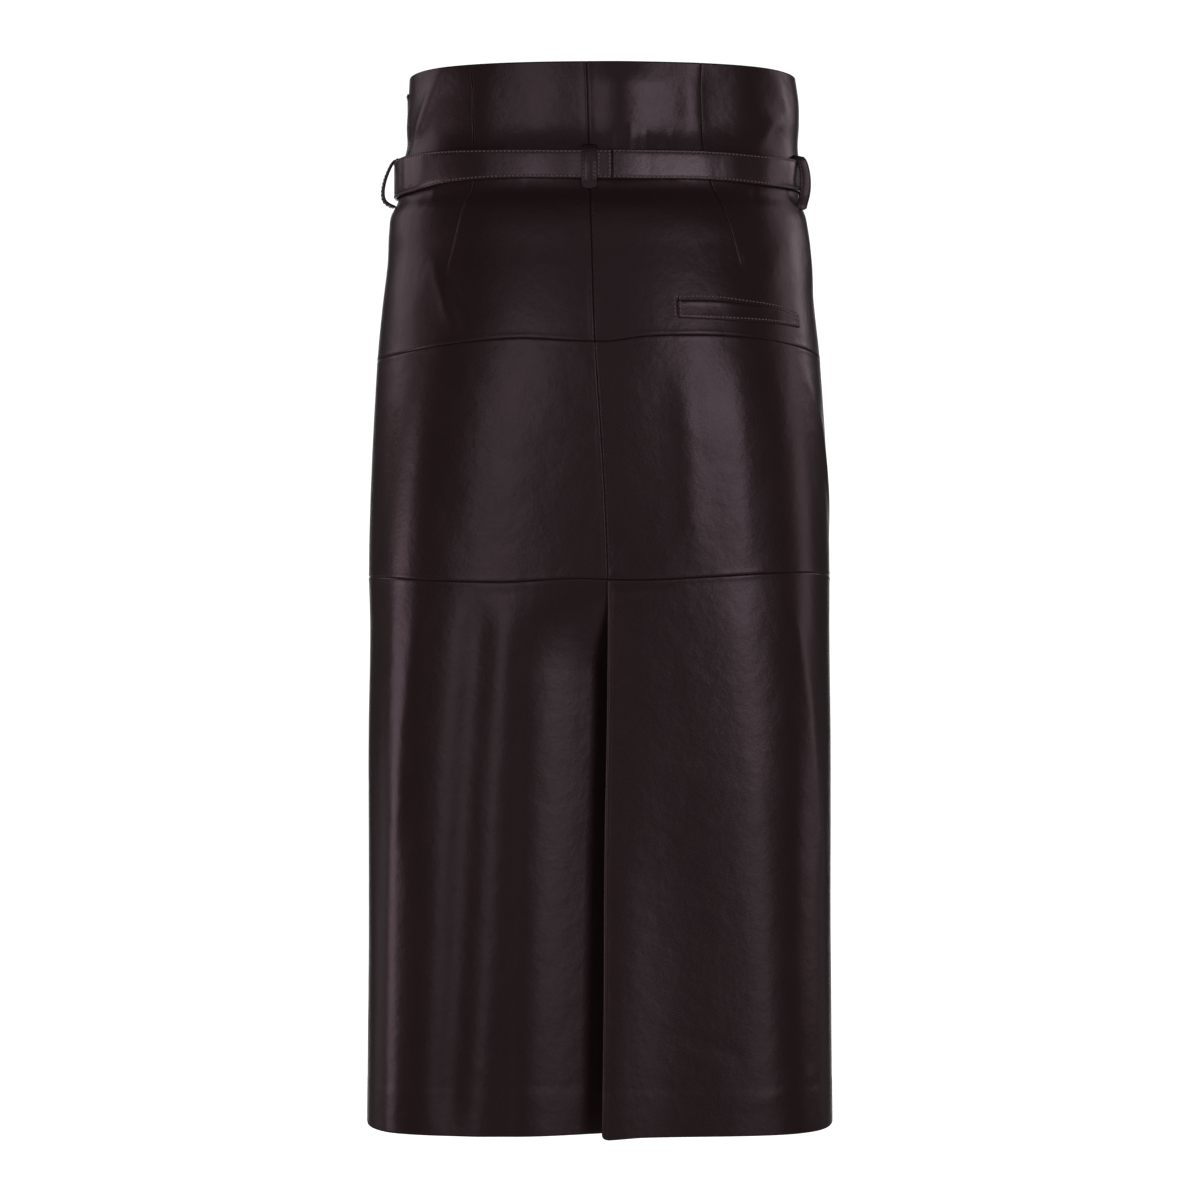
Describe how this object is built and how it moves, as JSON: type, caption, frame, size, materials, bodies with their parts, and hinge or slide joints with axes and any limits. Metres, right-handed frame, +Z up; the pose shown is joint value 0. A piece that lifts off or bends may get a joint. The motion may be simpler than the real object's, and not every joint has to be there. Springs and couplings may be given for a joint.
{
  "type": "leather skirt",
  "caption": "High-waisted straight midi skirt of smooth dark leather with cross seams, back vent, slit pocket and its own narrow belt, filled out with no wearer.",
  "frame": {"origin": "middle of the waist, at the height of the belt, where the wearer holds the skirt up", "axes": "+Z up along the skirt, the pictured back faces -Y, +X is the wearer's right"},
  "size_m": [0.3681, 0.2429, 0.8296],
  "materials": {
    "skirt_leather": "smooth semi-matt nappa, very dark aubergine brown",
    "strap_leather": "smooth nappa with edge stitching, slightly glossier",
    "zip_tape": "woven tape, matt",
    "dark_metal": "darkened metal, satin"
  },
  "bodies": {
    "garment": {"back_yoke_left": "skirt_leather", "back_yoke_right": "skirt_leather", "back_middle_left": "skirt_leather", "back_middle_right": "skirt_leather", "back_lower_left": "skirt_leather", "back_lower_right": "skirt_leather", "front_yoke": "skirt_leather", "front_middle": "skirt_leather", "front_lower": "skirt_leather", "pocket_welt": "skirt_leather", "belt_left": "strap_leather", "belt_right": "strap_leather", "belt_keeper": "strap_leather", "buckle_frame": "dark_metal", "buckle_prong": "dark_metal", "loop_back": "strap_leather", "loop_left": "strap_leather", "loop_right": "strap_leather", "zip_tape_back": "zip_tape", "zip_tape_front": "zip_tape", "zip_slider": "dark_metal"},
    "pull": {"zip_pull": "dark_metal"}
  },
  "joints": [
    {"name": "pull_hinge", "type": "hinge", "parent": "garment", "child": "pull", "pos_m": [-0.1533, 0, 0.066], "axis": [0, 1, 0], "range_deg": [0, 170]}
  ]
}
